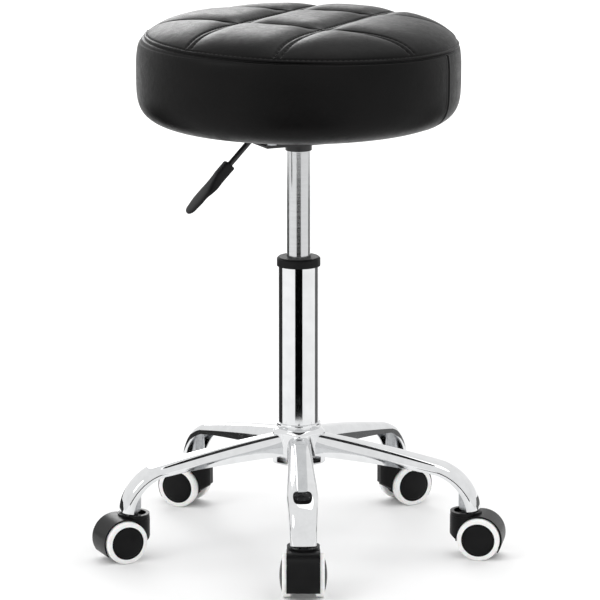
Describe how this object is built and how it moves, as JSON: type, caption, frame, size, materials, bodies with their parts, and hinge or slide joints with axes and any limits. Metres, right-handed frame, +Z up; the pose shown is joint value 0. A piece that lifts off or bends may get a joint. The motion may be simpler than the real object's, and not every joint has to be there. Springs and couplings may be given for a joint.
{
  "type": "rolling stylist stool",
  "caption": "Round padded stool seat on a gas lift with a release lever, a five-leg pressed steel base and twin-wheel castors.",
  "frame": {"origin": "on the floor, under the axis of the gas lift column", "axes": "+Z up along the column; the front leg points to -Y"},
  "size_m": [0.4834, 0.4558, 0.63],
  "materials": {
    "chrome": "bright chrome plate on pressed and drawn steel",
    "zinc_steel": "zinc plated and ground steel",
    "black_steel": "black powder coat",
    "black_plastic": "moulded black nylon, fine texture",
    "grip_plastic": "moulded black polypropylene",
    "castor_plastic": "moulded black nylon, semi-gloss",
    "white_tyre": "white polyurethane",
    "rubber": "moulded rubber",
    "brass": "turned brass",
    "plywood": "birch plywood",
    "foam": "moulded polyurethane foam",
    "lining": "black spun-bonded lining cloth",
    "seat_leather": "black synthetic leather, semi-gloss with a fine grain"
  },
  "bodies": {
    "base": {"hub": "chrome", "leg_front": "chrome", "leg_right": "chrome", "leg_rear_right": "chrome", "leg_rear_left": "chrome", "leg_left": "chrome", "stem_sockets": "zinc_steel", "castor_stems": "zinc_steel", "outer_column": "chrome", "column_collar": "black_plastic", "guide_bush": "black_plastic", "thrust_bearing": "zinc_steel", "bumper": "rubber", "retaining_clip": "zinc_steel"},
    "piston": {"piston_rod": "zinc_steel"},
    "seat": {"gas_cylinder": "chrome", "cylinder_gland": "black_plastic", "valve_body": "brass", "mount_plate": "black_steel", "lever_pivot_pin": "zinc_steel", "plate_bolts": "zinc_steel", "tee_nuts": "zinc_steel", "seat_board": "plywood", "under_cloth": "lining", "seat_foam": "foam", "seat_cover": "seat_leather"},
    "lever": {"lever_rod": "black_steel", "lever_grip": "grip_plastic"},
    "valve_pin": {"release_pin": "zinc_steel"},
    "castor_front": {"hood_front": "castor_plastic", "axle_front": "zinc_steel"},
    "wheel_front_a": {"wheel_front_a": "castor_plastic", "tyre_front_a": "white_tyre"},
    "wheel_front_b": {"wheel_front_b": "castor_plastic", "tyre_front_b": "white_tyre"},
    "castor_right": {"hood_right": "castor_plastic", "axle_right": "zinc_steel"},
    "wheel_right_a": {"wheel_right_a": "castor_plastic", "tyre_right_a": "white_tyre"},
    "wheel_right_b": {"wheel_right_b": "castor_plastic", "tyre_right_b": "white_tyre"},
    "castor_rear_right": {"hood_rear_right": "castor_plastic", "axle_rear_right": "zinc_steel"},
    "wheel_rear_right_a": {"wheel_rear_right_a": "castor_plastic", "tyre_rear_right_a": "white_tyre"},
    "wheel_rear_right_b": {"wheel_rear_right_b": "castor_plastic", "tyre_rear_right_b": "white_tyre"},
    "castor_rear_left": {"hood_rear_left": "castor_plastic", "axle_rear_left": "zinc_steel"},
    "wheel_rear_left_a": {"wheel_rear_left_a": "castor_plastic", "tyre_rear_left_a": "white_tyre"},
    "wheel_rear_left_b": {"wheel_rear_left_b": "castor_plastic", "tyre_rear_left_b": "white_tyre"},
    "castor_left": {"hood_left": "castor_plastic", "axle_left": "zinc_steel"},
    "wheel_left_a": {"wheel_left_a": "castor_plastic", "tyre_left_a": "white_tyre"},
    "wheel_left_b": {"wheel_left_b": "castor_plastic", "tyre_left_b": "white_tyre"}
  },
  "joints": [
    {"name": "seat_swivel", "type": "hinge", "parent": "base", "child": "piston", "pos_m": [0, 0, 0.3], "axis": [0, 0, 1], "continuous": true},
    {"name": "seat_lift", "type": "slide", "parent": "piston", "child": "seat", "axis": [0, 0, 1], "range_m": [-0.12, 0]},
    {"name": "lever_lift", "type": "hinge", "parent": "seat", "child": "lever", "pos_m": [-0.03081, -0.01437, 0.4895], "axis": [-0.4226, 0.9063, 0], "range_deg": [0, 7], "stiffness_Nm_per_rad": 3, "springref_deg": -2.86},
    {"name": "valve_press", "type": "slide", "parent": "seat", "child": "valve_pin", "axis": [0, 0, -1], "range_m": [0, 0.0043]},
    {"name": "castor_swivel_front", "type": "hinge", "parent": "base", "child": "castor_front", "pos_m": [0.00534, -0.20393, 0.05], "axis": [0, 0, 1], "continuous": true},
    {"name": "wheel_spin_front_a", "type": "hinge", "parent": "castor_front", "child": "wheel_front_a", "pos_m": [0.00534, -0.22093, 0.025], "axis": [-1, 0, 0], "continuous": true},
    {"name": "wheel_spin_front_b", "type": "hinge", "parent": "castor_front", "child": "wheel_front_b", "pos_m": [0.00534, -0.22093, 0.025], "axis": [-1, 0, 0], "continuous": true},
    {"name": "castor_swivel_right", "type": "hinge", "parent": "base", "child": "castor_right", "pos_m": [0.1956, -0.05794, 0.05], "axis": [0, 0, 1], "continuous": true},
    {"name": "wheel_spin_right_a", "type": "hinge", "parent": "castor_right", "child": "wheel_right_a", "pos_m": [0.21234, -0.06089, 0.025], "axis": [-0.1736, -0.9848, 0], "continuous": true},
    {"name": "wheel_spin_right_b", "type": "hinge", "parent": "castor_right", "child": "wheel_right_b", "pos_m": [0.21234, -0.06089, 0.025], "axis": [-0.1736, -0.9848, 0], "continuous": true},
    {"name": "castor_swivel_rear_right", "type": "hinge", "parent": "base", "child": "castor_rear_right", "pos_m": [0.11555, 0.16812, 0.05], "axis": [0, 0, 1], "continuous": true},
    {"name": "wheel_spin_rear_right_a", "type": "hinge", "parent": "castor_rear_right", "child": "wheel_rear_right_a", "pos_m": [0.13083, 0.17557, 0.025], "axis": [0.4384, -0.8988, 0], "continuous": true},
    {"name": "wheel_spin_rear_right_b", "type": "hinge", "parent": "castor_rear_right", "child": "wheel_rear_right_b", "pos_m": [0.13083, 0.17557, 0.025], "axis": [0.4384, -0.8988, 0], "continuous": true},
    {"name": "castor_swivel_rear_left", "type": "hinge", "parent": "base", "child": "castor_rear_left", "pos_m": [-0.12419, 0.16184, 0.05], "axis": [0, 0, 1], "continuous": true},
    {"name": "wheel_spin_rear_left_a", "type": "hinge", "parent": "castor_rear_left", "child": "wheel_rear_left_a", "pos_m": [-0.13984, 0.16849, 0.025], "axis": [0.3907, 0.9205, 0], "continuous": true},
    {"name": "wheel_spin_rear_left_b", "type": "hinge", "parent": "castor_rear_left", "child": "wheel_rear_left_b", "pos_m": [-0.13984, 0.16849, 0.025], "axis": [0.3907, 0.9205, 0], "continuous": true},
    {"name": "castor_swivel_left", "type": "hinge", "parent": "base", "child": "castor_left", "pos_m": [-0.1923, -0.0681, 0.05], "axis": [0, 0, 1], "continuous": true},
    {"name": "wheel_spin_left_a", "type": "hinge", "parent": "castor_left", "child": "wheel_left_a", "pos_m": [-0.20771, -0.07528, 0.025], "axis": [-0.4226, 0.9063, 0], "continuous": true},
    {"name": "wheel_spin_left_b", "type": "hinge", "parent": "castor_left", "child": "wheel_left_b", "pos_m": [-0.20771, -0.07528, 0.025], "axis": [-0.4226, 0.9063, 0], "continuous": true}
  ],
  "couplings": [
    {"joint": "valve_press", "follows": "lever_lift", "m_per_rad": 0.034}
  ]
}
